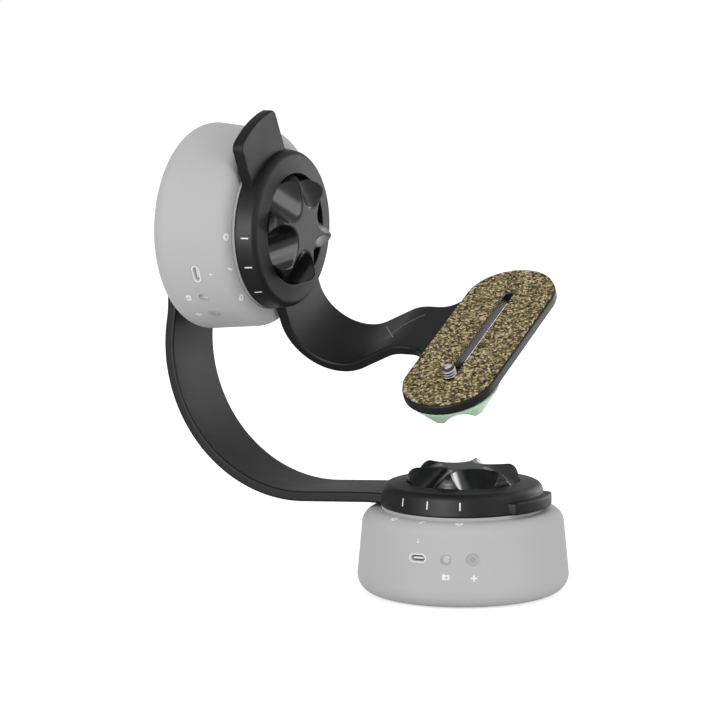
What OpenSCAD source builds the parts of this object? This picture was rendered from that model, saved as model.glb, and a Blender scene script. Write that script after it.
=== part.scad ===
// Motorized pan and tilt head: two identical motor drums, a C-shaped arm that carries
// the tilt drum over the pan drum, and an S-shaped arm that carries the camera plate.
// Millimetres. The origin is the mouth of the tripod socket, +Z is the pan axis,
// and +X runs along the tilt axis from the tilt drum to the camera plate.

/* [Layout] */
// Distance from the pan axis to the face that the tilt drum is bolted to
arm_reach = 131; // [125:0.5:140]
// Height of the tilt axis above the tripod socket
tilt_z = 154.7; // [150:0.1:165]
// Angle at which the camera plate leans forward at rest
tilt_rest = 26.75; // [-30:0.25:30]
// Turn of the tilt drum about its own axis
tilt_roll = 21.5; // [-30:0.5:30]

/* [Motor drum] */
// Largest radius of a drum, just above its base
drum_r = 46; // [45:0.2:50]
// Radius of the drum at its shoulder
shoulder_r = 43.9; // [43:0.1:45]
// Height of the drum's deck above the face it stands on
drum_h = 36.7; // [36:0.1:42]
// Rounding of the drum's lower edge
base_round = 7.4; // [6:0.1:8]
// Rounding of the drum's shoulder
shoulder_round = 6.2; // [5:0.1:7]
// Wall thickness of the moulded shell
shell_wall = 2.4; // [2:0.1:3]
// Height of the shell's lower edge above the rubber foot
foot_gap = 0.5; // [0.3:0.1:0.8]
// Depth of the well that the turntable sits in
well_depth = 1.5; // [1:0.1:2]

/* [Drum base] */
// Radius of the plate that closes the drum
base_plate_r = 36; // [35:0.2:37]
// Thickness of the plate that closes the drum
base_plate_t = 3; // [2.5:0.1:4]
// Outer radius of the rubber foot
foot_r = 24; // [20:0.5:26]
// Thickness of the rubber foot
foot_t = 1.5; // [1.2:0.1:2]
// Minor radius of the tripod thread
socket_r = 3.97; // [3.9:0.01:4.05]
// Depth of the tripod thread
socket_l = 9.5; // [8:0.1:10]
// Outer radius of the steel tripod bush
socket_bush_r = 7; // [6.5:0.1:8]
// Distance of the cover screws from the drum's axis
screw_circle = 31.5; // [31:0.1:32.5]
// Radius of a cover screw's shank
screw_r = 1.25; // [1:0.05:1.5]
// Length of a cover screw
screw_l = 10; // [8:0.5:14]

/* [Turntable] */
// Radius of the turntable
turntable_r = 35.3; // [34.5:0.1:35.4]
// Gap between the deck and the arm's disc
disc_gap = 1.76; // [1.5:0.02:2.4]
// Height by which the rubber grip ring stands proud of the turntable
grip_proud = 0.36; // [0.2:0.02:0.6]
// Inner radius of the grip ring
grip_r0 = 27; // [24:0.5:28]
// Outer radius of the grip ring
grip_r1 = 32; // [31:0.5:32.5]
// Radius of the hollow spindle
spindle_r = 8; // [7.5:0.1:9]
// Radius of the threaded stud
stud_r = 4.75; // [4.5:0.05:5]
// Length of the spindle's bearing in the deck
hub_l = 10.5; // [9:0.1:11]
// Wall of the flanged bearing
bearing_wall = 2; // [1.5:0.1:2.5]
// Thickness of the bearing's flange
flange_t = 1.25; // [1:0.05:1.6]

/* [Gear train] */
// Module of the gear teeth
gear_module = 1; // [0.9:0.05:1.05]
// Teeth of the drive gear
gear_teeth = 40; // [38:1:40]
// Teeth of the motor's pinion
pinion_teeth = 12; // [12:1:13]
// Face width of the gears
gear_t = 6; // [4:0.5:6.5]
// Pressure angle of the teeth
pressure_angle = 25; // [20:1:25]
// Play between the teeth, measured along the pitch circle
backlash = 0.3; // [0.2:0.02:0.5]
// Radius of the pinion's shaft
shaft_r = 1.5; // [1.2:0.1:2]
// Radius of the gear motor's can
can_r = 12; // [10:0.5:12]
// Direction of the gear motor from the drum's axis
motor_dir = 105; // [100:1:110]

/* [Electronics] */
// Height of the row of sockets above the drum's base
port_z = 22; // [20:0.2:24]
// Direction of the charging socket
usb_dir = -88.8; // [-92:0.2:-86]
// Direction of the audio jack
jack_dir = -72.5; // [-75:0.2:-70]
// Direction of the push button
button_dir = -58; // [-60:0.2:-55]
// Width of the charging socket
usb_w = 8.2; // [7:0.1:9]
// Height of the charging socket
usb_h = 4.2; // [3.6:0.1:4.6]
// Wall of the charging socket
usb_wall = 0.7; // [0.5:0.05:1]
// Radius of the jack's nose
jack_r = 2.3; // [2:0.1:2.6]
// Radius of the jack's hole
jack_hole_r = 1.75; // [1.5:0.05:1.9]
// Radius of the push button
button_r = 2.6; // [2.2:0.1:3]
// Travel of the push button
button_travel = 0.6; // [0.4:0.05:0.8]
// Thickness of the circuit board
board_t = 1.6; // [1:0.1:2]
// Length of the battery
battery_l = 34; // [28:1:36]
// Depth of the battery, measured away from the axis
battery_d = 20; // [16:1:22]
// Height of the battery
battery_h = 10.5; // [8:0.5:11]

/* [Arm discs] */
// Radius of the disc at the end of an arm
disc_r = 35.7; // [34:0.1:38]
// Thickness of the disc at the knob's recess
disc_t = 10.24; // [9.5:0.02:12]
// Rounding between the disc's side and its top
disc_round = 3.3; // [2:0.1:4]
// Distance of that rounding from the disc's axis
crown_r = 31.45; // [30:0.05:32]
// Height of that rounding above the disc's underside
crown_z = 6.14; // [5.5:0.02:6.4]
// Rounding of the disc's lower edge
disc_foot_round = 0.4; // [0.2:0.1:1]
// Radius of the knob's recess
recess_r = 24.5; // [24.4:0.1:26]
// Thickness of the disc under the knob
recess_floor = 5.5; // [4.5:0.1:6.5]
// Reach of the pointer tab on the pan disc, from the axis
pan_tab_r = 38.5; // [37.5:0.1:42]
// Reach of the pointer tab on the tilt disc, from the axis
tilt_tab_r = 54; // [48:0.5:60]
// Thickness of a pointer tab
tab_t = 5.2; // [4.8:0.1:6]
// Rounding of the pan tab's corners
pan_tab_round = 2.5; // [2:0.5:4]
// Rounding of the tilt tab's corners
tilt_tab_round = 4; // [3:0.5:6]

/* [Pan arm] */
// Width of the pan arm's strap
pan_strap_w = 35; // [30:0.5:38]
// Thickness of both straps
strap_t = 4.6; // [4:0.1:5.4]
// Rounding of the straps' edges
edge_round = 1; // [0.5:0.1:1.5]
// Radius of the C bend, at the middle of the strap
bend_r = 63.5; // [58:0.5:70]
// Drop of the strap's lowest point below the disc
bend_dip = 2.3; // [1.8:0.1:4]
// Distance from the pan axis at which the strap starts to drop
level_r = 36.25; // [32:0.25:40]
// Distance by which the C bend swells behind the upright
bend_swell = 1.8; // [1:0.1:4]
// Radius of the easing bends at both ends of the C
ease_r = 50; // [30:1:60]
// Radius of the round end that the tilt drum is bolted to
mount_end_r = 20; // [18:0.5:24]
// Height of the seat on the round end
mount_seat = 3; // [2:0.1:4]

/* [Camera arm] */
// Width of the camera arm's strap
camera_strap_w = 33; // [28:0.5:36]
// Radius of the lower bend, at the middle of the strap
camera_bend_r = 23; // [20:0.5:26]
// Radius of the upper bend, at the middle of the strap
camera_ease_r = 20; // [15:0.5:24]
// Slope of the strap between the bends
camera_slope = 26.5; // [22:0.5:32]
// Depth of the plate's underside below the tilt axis
plate_drop = 52.7; // [48:0.1:56]
// Drop of the strap's lowest point below the plate
camera_dip = 11.5; // [10:0.1:13]
// Width of the camera plate
plate_w = 41.7; // [38:0.1:46]
// Length of the camera plate
plate_l = 107.3; // [95:0.5:115]
// Offset of the camera plate towards its front end
plate_shift = 5.7; // [0:0.1:6]
// Radius of the flare between strap and plate
flare_r = 9; // [6:0.5:10]
// Width of the slot in the plate
slot_w = 5.3; // [5:0.1:6.2]
// Distance of the slot's ends from the plate's ends
slot_margin = 18.15; // [15:0.05:22]
// Thickness of the cork pad
cork_t = 1.1; // [0.8:0.1:2]
// Distance of the cork pad's edge from the plate's edge
cork_inset = 0.5; // [0.3:0.1:2]

/* [Knobs] */
// Outer radius of a clamping knob
knob_r = 24.2; // [23:0.1:24.3]
// Height of a knob's star face above the disc
knob_proud = 6.3; // [5:0.1:8]
// Radius of the flat in the middle of the star face
star_flat_r = 9.3; // [8:0.1:11]
// Radius of the scoops between the arms of the star
scoop_r = 12.5; // [11.5:0.1:13]
// Slope of the scoops
scoop_slope = 34; // [30:1:35]
// Rounding of the outer ends of a knob's arms
knob_soft = 4; // [1:0.1:4.5]
// Number of arms on every knob
knob_arms = 6; // [5:1:6]
// Direction of one arm of the pan knob
pan_knob_dir = 41; // [0:1:60]
// Direction of one arm of the tilt knob
tilt_knob_dir = 51; // [0:1:60]
// Outer radius of the threaded insert in a knob
insert_r = 7.5; // [7:0.1:8.5]

/* [Camera screw] */
// Major radius of the camera thread
camera_thread_r = 3.175; // [3.1:0.005:3.175]
// Length of the camera thread above the cork
camera_thread_l = 4.8; // [4:0.1:8]
// Radius of the shank below the camera thread
camera_shank_r = 2.4; // [2:0.05:2.45]
// Distance of the camera screw from the slot's front end
camera_screw_in = 4; // [3.6:0.1:30]
// Outer radius of the camera knob
camera_knob_r = 20.5; // [18:0.1:23]
// Radius of the camera knob at its star face
camera_tip_r = 17.2; // [16:0.1:18]
// Height of the camera knob
camera_knob_h = 7; // [6:0.5:9]
// Radius of the flat in the middle of the camera knob's star face
camera_flat_r = 11.5; // [11:0.1:12]
// Radius of the scoops in the camera knob
camera_scoop_r = 11.7; // [11:0.1:12]
// Slope of the scoops in the camera knob
camera_scoop_slope = 35; // [30:1:36]
// Rounding of the outer ends of the camera knob's arms
camera_soft = 0.8; // [0.5:0.1:1.5]
// Thickness of the washer above the camera knob
washer_t = 0.8; // [0.5:0.1:1.5]
// Outer radius of the washer
washer_r = 8; // [6.5:0.5:9]

/* [Clearances] */
// Clearance of pieces that are pressed, glued or screwed into each other
fit_gap = 0.05; // [0.02:0.01:0.1]
// Running clearance of shafts in their bearings
run_gap = 0.05; // [0.03:0.01:0.1]
// Clearance between faces that turn past each other
face_gap = 0.3; // [0.2:0.05:0.5]
// Clearance of bolts in plain holes
hole_gap = 0.3; // [0.2:0.05:0.5]

/* [Hidden] */
$fn = 96;

drum_grey = "#bdbdbd";
arm_black = "#1d1d1f";
knob_black = "#151516";
steel = "#c9ccd0";
brass = "#b5a269";
rubber = "#2a2a2b";

// Small step and lap that join one length of strap to the next
seam = 0.02;
lap = 0.3;
// Length by which a cut runs past the face that it opens
past = 1;

// Levels in a drum, measured along its axis from the face it stands on
plate_top = foot_gap + base_plate_t;
well_z = drum_h - well_depth;
deck_under = well_z - shell_wall;
disc_z = drum_h + disc_gap;
disc_top = disc_z + disc_t;
table_z = well_z + face_gap;
table_top = disc_z - grip_proud;
grip_groove = (table_top - table_z) / 2;
hub_z = deck_under - hub_l;
bearing_r = spindle_r + run_gap + bearing_wall;
hub_wall = 2.4;
flange_reach = 3;
flange_z = well_z - flange_t + face_gap - run_gap;
gear_top = hub_z - face_gap;
gear_z = gear_top - gear_t;
clip_t = 1;
clip_groove = 1;
spindle_foot = 1.2;
clip_z = gear_z - fit_gap - clip_t;
spindle_z = clip_z - spindle_foot;
can_gap = 1.5;
can_z = gear_top + can_gap;
shaft_in = 5;
gear_pitch_r = gear_module * gear_teeth / 2;
pinion_pitch_r = gear_module * pinion_teeth / 2;
gear_centres = gear_pitch_r + pinion_pitch_r;
// Turn of the pinion that sets one of its gaps on the drive gear's nearest tooth
nearest_tooth = round(motor_dir * gear_teeth / 360) * 360 / gear_teeth - motor_dir;
pinion_mesh = 180 + 180 / pinion_teeth - nearest_tooth * gear_teeth / pinion_teeth;

// Drum side: the line that touches both edge roundings, and its lean from the axis
base_c = [drum_r - base_round, foot_gap + base_round];
shoulder_c = [shoulder_r - shoulder_round, drum_h - shoulder_round];
side_v = shoulder_c - base_c;
side_lean = asin((base_round - shoulder_round) / norm(side_v)) - atan2(side_v[0], side_v[1]);
side_n = [cos(side_lean), sin(side_lean)];
function side_r(z) = base_c[0] + (base_round - side_n[1] * (z - base_c[1])) / side_n[0];
port_r = side_r(port_z);
port_wall_r = port_r - shell_wall / side_n[0];

// Circuit board, a segment of a ring around the drive gear
board_top = port_z - usb_h / 2;
board_gap = 3;
board_inset = 3.5;
board_r0 = gear_pitch_r + gear_module + board_gap;
board_r1 = port_wall_r - board_inset;
board_dir = (usb_dir + button_dir) / 2;
board_half = 34;
board_post = 25;
board_post_r = 2.2;
board_post_in = 4;
switch_r = board_r1 - 3;
// Cover screws, spread evenly from one that stands beside the board
screw_count = 4;
screw_clear = 12.6;
first_screw = board_dir - board_half - screw_clear;
screw_dirs = [for (i = [0 : screw_count - 1]) first_screw + i * 360 / screw_count];
post_wall = 1.9;
screw_post_r = screw_r + fit_gap + post_wall;

// Knob
knob_gap = 0.1;
knob_z = disc_z + recess_floor + knob_gap;
knob_top = disc_top + knob_proud;
insert_l = 8;
stud_top = knob_z + insert_l - 1;

// Pan arm: middle line of the strap, from the disc round the C bend to the upright
strap_z = disc_z + strap_t / 2;
upright_x = -arm_reach - mount_seat - strap_t / 2;
bend_x = upright_x - bend_swell + bend_r;
bend_z = strap_z - bend_dip + bend_r;
swell_turn = acos(1 - bend_swell / (bend_r + ease_r));
swell_c = [bend_x - (bend_r + ease_r) * cos(swell_turn), bend_z + (bend_r + ease_r) * sin(swell_turn)];
joint_turn = lap / 3 / ease_r * 180 / PI;
// Drop from the disc: the line that touches the easing bend from above and the C bend from below
ease_v = [-level_r - bend_x, strap_z - ease_r - bend_z];
dip_slope = atan2(ease_v[0], -ease_v[1]) - acos((bend_r + ease_r) / norm(ease_v));
dip_l = sqrt(ease_v * ease_v - pow(bend_r + ease_r, 2));
dip_end = [bend_x + bend_r * sin(dip_slope), bend_z - bend_r * cos(dip_slope)];

// Camera arm: middle line of the strap, from the disc round the lower bend to the plate
drop_x = -arm_reach + disc_z + strap_t / 2;
plate_z = -plate_drop;
plate_mid = plate_z + strap_t / 2;
plate_face = plate_z + strap_t;
low_c = [drop_x + camera_bend_r, plate_mid - camera_dip + camera_bend_r];
rise_start = low_c + camera_bend_r * [sin(camera_slope), -cos(camera_slope)];
rise_l = (camera_dip - (camera_bend_r + camera_ease_r) * (1 - cos(camera_slope))) / sin(camera_slope);
rise_end = rise_start + rise_l * [cos(camera_slope), sin(camera_slope)];
ease_c = rise_end + camera_ease_r * [sin(camera_slope), -cos(camera_slope)];
plate_edge = -plate_w / 2;
slot_l = plate_l - 2 * slot_margin;
screw_y = -plate_shift - slot_l / 2 + camera_screw_in;
cork_top = plate_face + cork_t;
knob_under = plate_z - washer_t - fit_gap;
camera_floor = 2;
camera_relief = 0.2;

// Point at which a line from p touches a circle, on its left or right side
function touch(p, c, r, side) =
  let (v = p - c, a = atan2(v[1], v[0]) + side * acos(r / norm(v)))
  c + r * [cos(a), sin(a)];

// Teeth: half the angle that a tooth takes up at a radius on its involute flank
function involute(a) = tan(a) * 180 / PI - a;
function tooth_half(r, base_r, pitch_half) =
  pitch_half + involute(pressure_angle) - involute(acos(min(1, base_r / r)));
function tooth_points(teeth, i) =
  let (
    pitch_r = gear_module * teeth / 2,
    base_r = pitch_r * cos(pressure_angle),
    root_r = pitch_r - 1.2 * gear_module,
    tip_r = pitch_r + 0.9 * gear_module,
    pitch_half = 90 / teeth - backlash / 2 / pitch_r * 90 / PI,
    radii = [root_r, max(base_r, root_r), pitch_r, tip_r],
    mid = 360 * i / teeth
  )
  [
    for (k = [0 : 7])
      let (
        r = radii[k < 4 ? k : 7 - k],
        a = mid + (k < 4 ? -1 : 1) * tooth_half(r, base_r, pitch_half)
      )
      r * [cos(a), sin(a)]
  ];

module gear_outline(teeth) {
  polygon([for (i = [0 : teeth - 1]) each tooth_points(teeth, i)]);
}

// Places a drum's pieces on the upright of the pan arm
module on_upright() {
  translate([-arm_reach, 0, tilt_z]) rotate([0, 90, 0]) rotate([0, 0, tilt_roll]) children();
}

// Places the camera arm's pieces on the tilt axis
module on_tilt_axis() {
  translate([0, 0, tilt_z]) rotate([tilt_rest, 0, 0]) children();
}

// Places a disc or knob of the camera arm on the tilt axis, facing along +X
module on_tilt_disc() {
  on_tilt_axis() translate([-arm_reach, 0, 0]) rotate([0, 90, 0]) children();
}

// Points local +X out of the drum at a direction, at the height of the sockets
module at_port(dir) {
  rotate([0, 0, dir]) translate([0, 0, port_z]) rotate([0, 90, 0]) children();
}

// A ring between two radii
module ring(r0, r1, z0, z1) {
  translate([0, 0, z0]) difference() {
    cylinder(r = r1, h = z1 - z0);
    translate([0, 0, -past]) cylinder(r = r0, h = z1 - z0 + 2 * past);
  }
}

// Outline of a drum's side, drawn in from its skin by a distance
module drum_profile(inset) {
  low = base_round - inset;
  high = shoulder_round - inset;
  polygon([
    [0, base_c[1] - low], [base_c[0], base_c[1] - low], base_c + low * side_n,
    shoulder_c + high * side_n, [shoulder_c[0], shoulder_c[1] + high], [0, shoulder_c[1] + high]
  ]);
  translate(base_c) circle(r = low);
  translate(shoulder_c) circle(r = high);
}

// Moulded shell of a drum, open below, with a bearing hub and screw posts under its deck
module drum_shell() {
  difference() {
    union() {
      difference() {
        rotate_extrude() drum_profile(0);
        rotate_extrude() intersection() {
          drum_profile(shell_wall);
          square([drum_r, deck_under]);
        }
        translate([0, 0, -past]) cylinder(r = base_plate_r + fit_gap, h = base_c[1] + past);
      }
      translate([0, 0, hub_z]) cylinder(r = bearing_r + fit_gap + hub_wall, h = well_z - hub_z - seam);
      for (dir = screw_dirs) rotate([0, 0, dir]) translate([screw_circle, 0, plate_top])
        cylinder(r = screw_post_r, h = deck_under - plate_top + past);
    }
    translate([0, 0, well_z]) cylinder(r = turntable_r + face_gap, h = well_depth + past);
    translate([0, 0, hub_z - past]) cylinder(r = bearing_r + fit_gap, h = drum_h);
    translate([0, 0, flange_z]) cylinder(r = bearing_r + flange_reach + fit_gap, h = drum_h);
    for (dir = screw_dirs) rotate([0, 0, dir]) translate([screw_circle, 0, plate_top - past])
      cylinder(r = screw_r + fit_gap, h = screw_l + past);
    at_port(usb_dir) translate([0, 0, board_r1]) linear_extrude(drum_r) usb_outline(fit_gap);
    at_port(jack_dir) translate([0, 0, board_r1]) cylinder(r = jack_r + fit_gap, h = drum_r);
    at_port(button_dir) translate([0, 0, board_r1]) cylinder(r = button_r + run_gap, h = drum_r);
  }
}

// Outline of the charging socket, seen from outside, grown by a distance
module usb_outline(grow) {
  half = (usb_w - usb_h) / 2;
  for (side = [-1, 1]) translate([0, side * half]) circle(r = usb_h / 2 + grow);
  square([usb_h + 2 * grow, 2 * half], center = true);
}

// Plate that closes a drum, with the foot's recess, countersunk holes and board posts
module drum_base_plate() {
  difference() {
    union() {
      translate([0, 0, foot_gap]) cylinder(r = base_plate_r, h = base_plate_t);
      for (side = [-1, 1]) rotate([0, 0, board_dir + side * board_post])
        translate([board_r0 + board_post_in, 0, foot_gap + seam])
          cylinder(r = board_post_r, h = board_top - board_t - foot_gap - seam);
    }
    translate([0, 0, -past]) cylinder(r = foot_r + fit_gap, h = foot_t + past);
    translate([0, 0, -past]) cylinder(r = socket_bush_r + fit_gap, h = plate_top + 2 * past);
    for (dir = screw_dirs) rotate([0, 0, dir]) translate([screw_circle, 0, foot_gap]) {
      cylinder(r = screw_r + hole_gap, h = base_plate_t + past);
      screw_head(hole_gap);
    }
  }
}

// Countersunk head of a cover screw, standing flush with the face below it
module screw_head(grow) {
  translate([0, 0, -seam]) cylinder(r1 = 2 * screw_r + grow, r2 = screw_r + grow, h = screw_r + seam);
}

module drum_screws() {
  for (dir = screw_dirs) rotate([0, 0, dir]) translate([screw_circle, 0, foot_gap]) {
    difference() {
      union() {
        translate([0, 0, seam]) screw_head(0);
        cylinder(r = screw_r, h = screw_l);
      }
      translate([0, 0, -past]) cylinder(r = screw_r * 0.7, h = screw_r * 0.6 + past, $fn = 6);
    }
  }
}

// Steel bush with the tripod thread, held by a flange inside the plate
module drum_bush() {
  floor_t = 1.5;
  flange = 2;
  difference() {
    union() {
      cylinder(r = socket_bush_r, h = socket_l + floor_t);
      translate([0, 0, plate_top + fit_gap]) cylinder(r = socket_bush_r + flange, h = flange);
    }
    translate([0, 0, -past]) cylinder(r = socket_r, h = socket_l + past);
  }
}

module drum_foot() {
  ring(socket_bush_r + fit_gap, foot_r, 0, foot_t - fit_gap);
}

// Flanged bearing that the spindle turns in
module drum_bearing() {
  difference() {
    union() {
      translate([0, 0, hub_z]) cylinder(r = bearing_r, h = flange_z - hub_z + flange_t / 2);
      translate([0, 0, flange_z + fit_gap]) cylinder(r = bearing_r + flange_reach, h = flange_t - fit_gap);
    }
    translate([0, 0, hub_z - past]) cylinder(r = spindle_r + run_gap, h = drum_h);
  }
}

// Turntable and its hollow spindle
module drum_turntable() {
  difference() {
    union() {
      translate([0, 0, table_z]) cylinder(r = turntable_r, h = table_top - table_z);
      translate([0, 0, spindle_z]) cylinder(r = spindle_r, h = table_z - spindle_z + seam);
    }
    ring(grip_r0 - fit_gap, grip_r1 + fit_gap, table_top - grip_groove, table_top + past);
    translate([0, 0, spindle_z - past]) cylinder(r = stud_r + fit_gap, h = drum_h + past);
    ring(spindle_r - clip_groove, spindle_r + past, clip_z - fit_gap, clip_z + clip_t + fit_gap);
  }
}

module drum_grip_ring() {
  ring(grip_r0, grip_r1, table_top - grip_groove + fit_gap, disc_z - fit_gap);
}

// Threaded stud that the knob clamps the arm with
module drum_stud() {
  chamfer = 0.8;
  translate([0, 0, spindle_z + 1]) cylinder(r = stud_r, h = stud_top - chamfer - spindle_z - 1);
  translate([0, 0, stud_top - chamfer]) cylinder(r1 = stud_r, r2 = stud_r - chamfer, h = chamfer);
}

// Drive gear on the spindle, with lightening holes in its web
module drum_drive_gear() {
  web_r = (spindle_r + gear_pitch_r) / 2;
  web_hole_r = 2.6;
  web_holes = 6;
  translate([0, 0, gear_z]) linear_extrude(gear_t) difference() {
    gear_outline(gear_teeth);
    circle(r = spindle_r + fit_gap);
    for (i = [0 : web_holes - 1]) rotate((i + 0.5) * 360 / web_holes)
      translate([web_r, 0]) circle(r = web_hole_r);
  }
}

// Spring clip in the spindle's groove, under the drive gear
module drum_clip() {
  reach = 1.6;
  difference() {
    ring(spindle_r - clip_groove + fit_gap, spindle_r + reach, clip_z, clip_z + clip_t);
    translate([0, -spindle_r / 2, clip_z - past]) cube([2 * spindle_r, spindle_r, clip_t + 2 * past]);
  }
}

// Pinion cut on the gear motor's shaft, with a gap facing the drive gear's tooth
module drum_pinion() {
  tip = 0.5;
  rotate([0, 0, motor_dir]) translate([gear_centres, 0, 0]) {
    translate([0, 0, gear_z]) rotate([0, 0, pinion_mesh]) linear_extrude(gear_t) gear_outline(pinion_teeth);
    translate([0, 0, gear_z - tip]) cylinder(r = shaft_r, h = can_z + shaft_in - gear_z + tip);
  }
}

// Flat-sided gear motor, hung under the deck
module drum_gear_motor() {
  flat = 0.85 * can_r;
  boss_r = shaft_r + 2.5;
  boss_l = 1;
  rotate([0, 0, motor_dir]) translate([gear_centres, 0, 0]) difference() {
    union() {
      intersection() {
        translate([0, 0, can_z]) cylinder(r = can_r, h = deck_under - can_z);
        translate([-can_r, -flat, 0]) cube([2 * can_r, 2 * flat, drum_h]);
      }
      translate([0, 0, can_z - boss_l]) cylinder(r = boss_r, h = 2 * boss_l);
    }
    translate([0, 0, can_z - 2 * boss_l])
      cylinder(r = shaft_r + run_gap, h = 2 * boss_l + shaft_in + face_gap);
  }
}

// Board with its switch and two chips
module drum_circuit_board() {
  chip = [5, 7, 1.2];
  small_chip = [4, 4, 1];
  chip_in = 1;
  chip_turn = 14;
  switch = [5, 6, usb_h / 2 + 2];
  rotate([0, 0, board_dir - board_half]) translate([0, 0, board_top - board_t])
    rotate_extrude(angle = 2 * board_half) translate([board_r0, 0]) square([board_r1 - board_r0, board_t]);
  rotate([0, 0, board_dir]) translate([board_r0 + chip_in, 0, board_top - seam]) cube(chip);
  rotate([0, 0, board_dir - chip_turn]) translate([board_r0 + chip_in, 0, board_top - seam])
    cube(small_chip);
  rotate([0, 0, button_dir]) translate([switch_r - switch[0], -switch[1] / 2, board_top - seam])
    cube(switch);
}

// Battery, lying on the base plate beside the tripod bush
module drum_battery() {
  edge = 2;
  bush_clear = 5;
  mid_r = socket_bush_r + bush_clear + battery_d / 2;
  rotate([0, 0, motor_dir]) translate([mid_r, 0, plate_top]) linear_extrude(battery_h) {
    square([battery_d - 2 * edge, battery_l], center = true);
    square([battery_d, battery_l - 2 * edge], center = true);
    for (x = [-1, 1], y = [-1, 1])
      translate([x * (battery_d / 2 - edge), y * (battery_l / 2 - edge)]) circle(r = edge);
  }
}

// Charging socket: an oval sleeve with a contact tongue inside
module drum_charging_socket() {
  back = board_r1 - 5;
  back_t = 1;
  sunk = 0.15;
  tongue_t = 0.8;
  tongue_in = 1.8;
  at_port(usb_dir) translate([0, 0, back]) {
    difference() {
      linear_extrude(port_r - sunk - back) usb_outline(0);
      translate([0, 0, back_t]) linear_extrude(drum_r) usb_outline(-usb_wall);
    }
    translate([-tongue_t / 2, tongue_in - usb_w / 2, back_t / 2])
      cube([tongue_t, usb_w - 2 * tongue_in, port_r - back - tongue_in]);
  }
}

// Audio jack: a body on the board with a round nose in the shell
module drum_jack() {
  body_w = 6;
  body_l = 8;
  nose_sunk = 0.4;
  wall_clear = 0.8;
  hole_l = 6;
  at_port(jack_dir) difference() {
    union() {
      translate([-usb_h / 2, -body_w / 2, board_r1 - body_l])
        cube([usb_h - fit_gap, body_w, port_wall_r - board_r1 + body_l - wall_clear]);
      translate([0, 0, board_r1]) cylinder(r = jack_r, h = port_r - nose_sunk - board_r1);
    }
    translate([0, 0, board_r1 - hole_l]) cylinder(r = jack_hole_r, h = drum_r);
  }
}

// Push button, kept in by its flange, with a stem that reaches the switch
module drum_button() {
  proud = 0.25;
  rim = 0.9;
  rim_r = port_wall_r - 1.6;
  stem_r = 1.4;
  stem_end = switch_r + button_travel + face_gap;
  at_port(button_dir) {
    translate([0, 0, rim_r]) cylinder(r = button_r, h = port_r + proud - rim_r);
    translate([0, 0, rim_r]) cylinder(r = button_r + rim, h = rim);
    translate([0, 0, stem_end]) cylinder(r = stem_r, h = rim_r - stem_end + rim);
  }
}

// Cross-section of a strap, with its thickness along X
module strap_section(w, t) {
  x = t / 2 - edge_round;
  y = w / 2 - edge_round;
  square([t, 2 * y], center = true);
  square([2 * x, w], center = true);
  for (i = [-1, 1], j = [-1, 1]) translate([i * x, j * y]) circle(r = edge_round, $fn = 32);
}

// Turns a shape drawn in the XY plane so that it stands in the XZ plane at a point
module in_side_view(p) {
  translate([p[0], 0, p[1]]) rotate([90, 0, 0]) children();
}

// A bend of strap about a centre, between two angles in the side view
module strap_bend(c, r, a0, a1, w) {
  in_side_view(c) rotate([0, 0, a0]) rotate_extrude(angle = a1 - a0)
    translate([r, 0]) strap_section(w, strap_t);
}

// A straight length of strap in the side view, lapped into what it joins at both ends
module strap_run(p, a, l, w) {
  in_side_view(p) rotate([0, 0, a]) translate([-lap, 0, 0]) rotate([0, 90, 0])
    linear_extrude(l + 2 * lap) rotate(90) strap_section(w - 2 * seam, strap_t - 2 * seam);
}

// Round end disc of an arm: soft outer edge, knob recess and pointer tab along +X
module turn_disc(tab_r, tab_w, tab_round) {
  difference() {
    union() {
      rotate_extrude() translate([0, disc_z]) disc_profile();
      translate([0, 0, disc_z + seam]) linear_extrude(tab_t - seam) tab_outline(tab_r, tab_w, tab_round);
    }
    translate([0, 0, disc_z + recess_floor]) cylinder(r = recess_r, h = disc_t);
    translate([0, 0, disc_z - past]) cylinder(r = stud_r + hole_gap, h = disc_t + past);
  }
}

// Half of the disc's section: a leaning side, a rounding and a top that rises to the recess
module disc_profile() {
  foot = disc_r - disc_foot_round;
  crown = [crown_r, crown_z];
  brim = [recess_r, disc_t];
  polygon([
    [0, 0], [foot, 0], [disc_r, disc_foot_round],
    touch([disc_r, disc_foot_round], crown, disc_round, 1), crown,
    touch(brim, crown, disc_round, -1), brim, [0, disc_t]
  ]);
  translate([foot, disc_foot_round]) circle(r = disc_foot_round, $fn = 32);
  translate(crown) circle(r = disc_round);
}

// Outline of a pointer tab: parallel sides and a round nose with soft corners
module tab_outline(r, w, soft) {
  side = w / 2 - soft;
  corner = sqrt(pow(r - soft, 2) - side * side);
  intersection() {
    union() {
      translate([0, -w / 2]) square([corner, w]);
      translate([0, -side]) square([r, 2 * side]);
      for (j = [-1, 1]) translate([corner, j * side]) circle(r = soft, $fn = 48);
    }
    circle(r = r, $fn = 180);
  }
}

// A round cap with sloping scoops that leave a six-armed star on its face
module star_cap(r, tip_r, z0, z1, flat_r, cut_r, slope, soft, dir) {
  cut_z = z1 + cut_r / cos(slope);
  corner = [tip_r - soft, z1 - soft];
  difference() {
    rotate_extrude() {
      polygon([
        [0, z0], [r, z0], touch([r, z0], corner, soft, 1), corner, [corner[0], z1], [0, z1]
      ]);
      translate(corner) circle(r = soft);
    }
    for (i = [0 : knob_arms - 1]) rotate([0, 0, dir + (i + 0.5) * 360 / knob_arms])
      translate([flat_r, 0, cut_z]) rotate([0, 90 + slope, 0])
        cylinder(r = cut_r, h = 4 * r, center = true);
  }
}

// Clamping knob, hollow below for its threaded insert
module clamp_knob(dir) {
  difference() {
    star_cap(
      knob_r, knob_r, knob_z, knob_top, star_flat_r, scoop_r, scoop_slope, knob_soft, dir
    );
    translate([0, 0, knob_z - past]) cylinder(r = insert_r + fit_gap, h = insert_l + past);
  }
}

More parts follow.
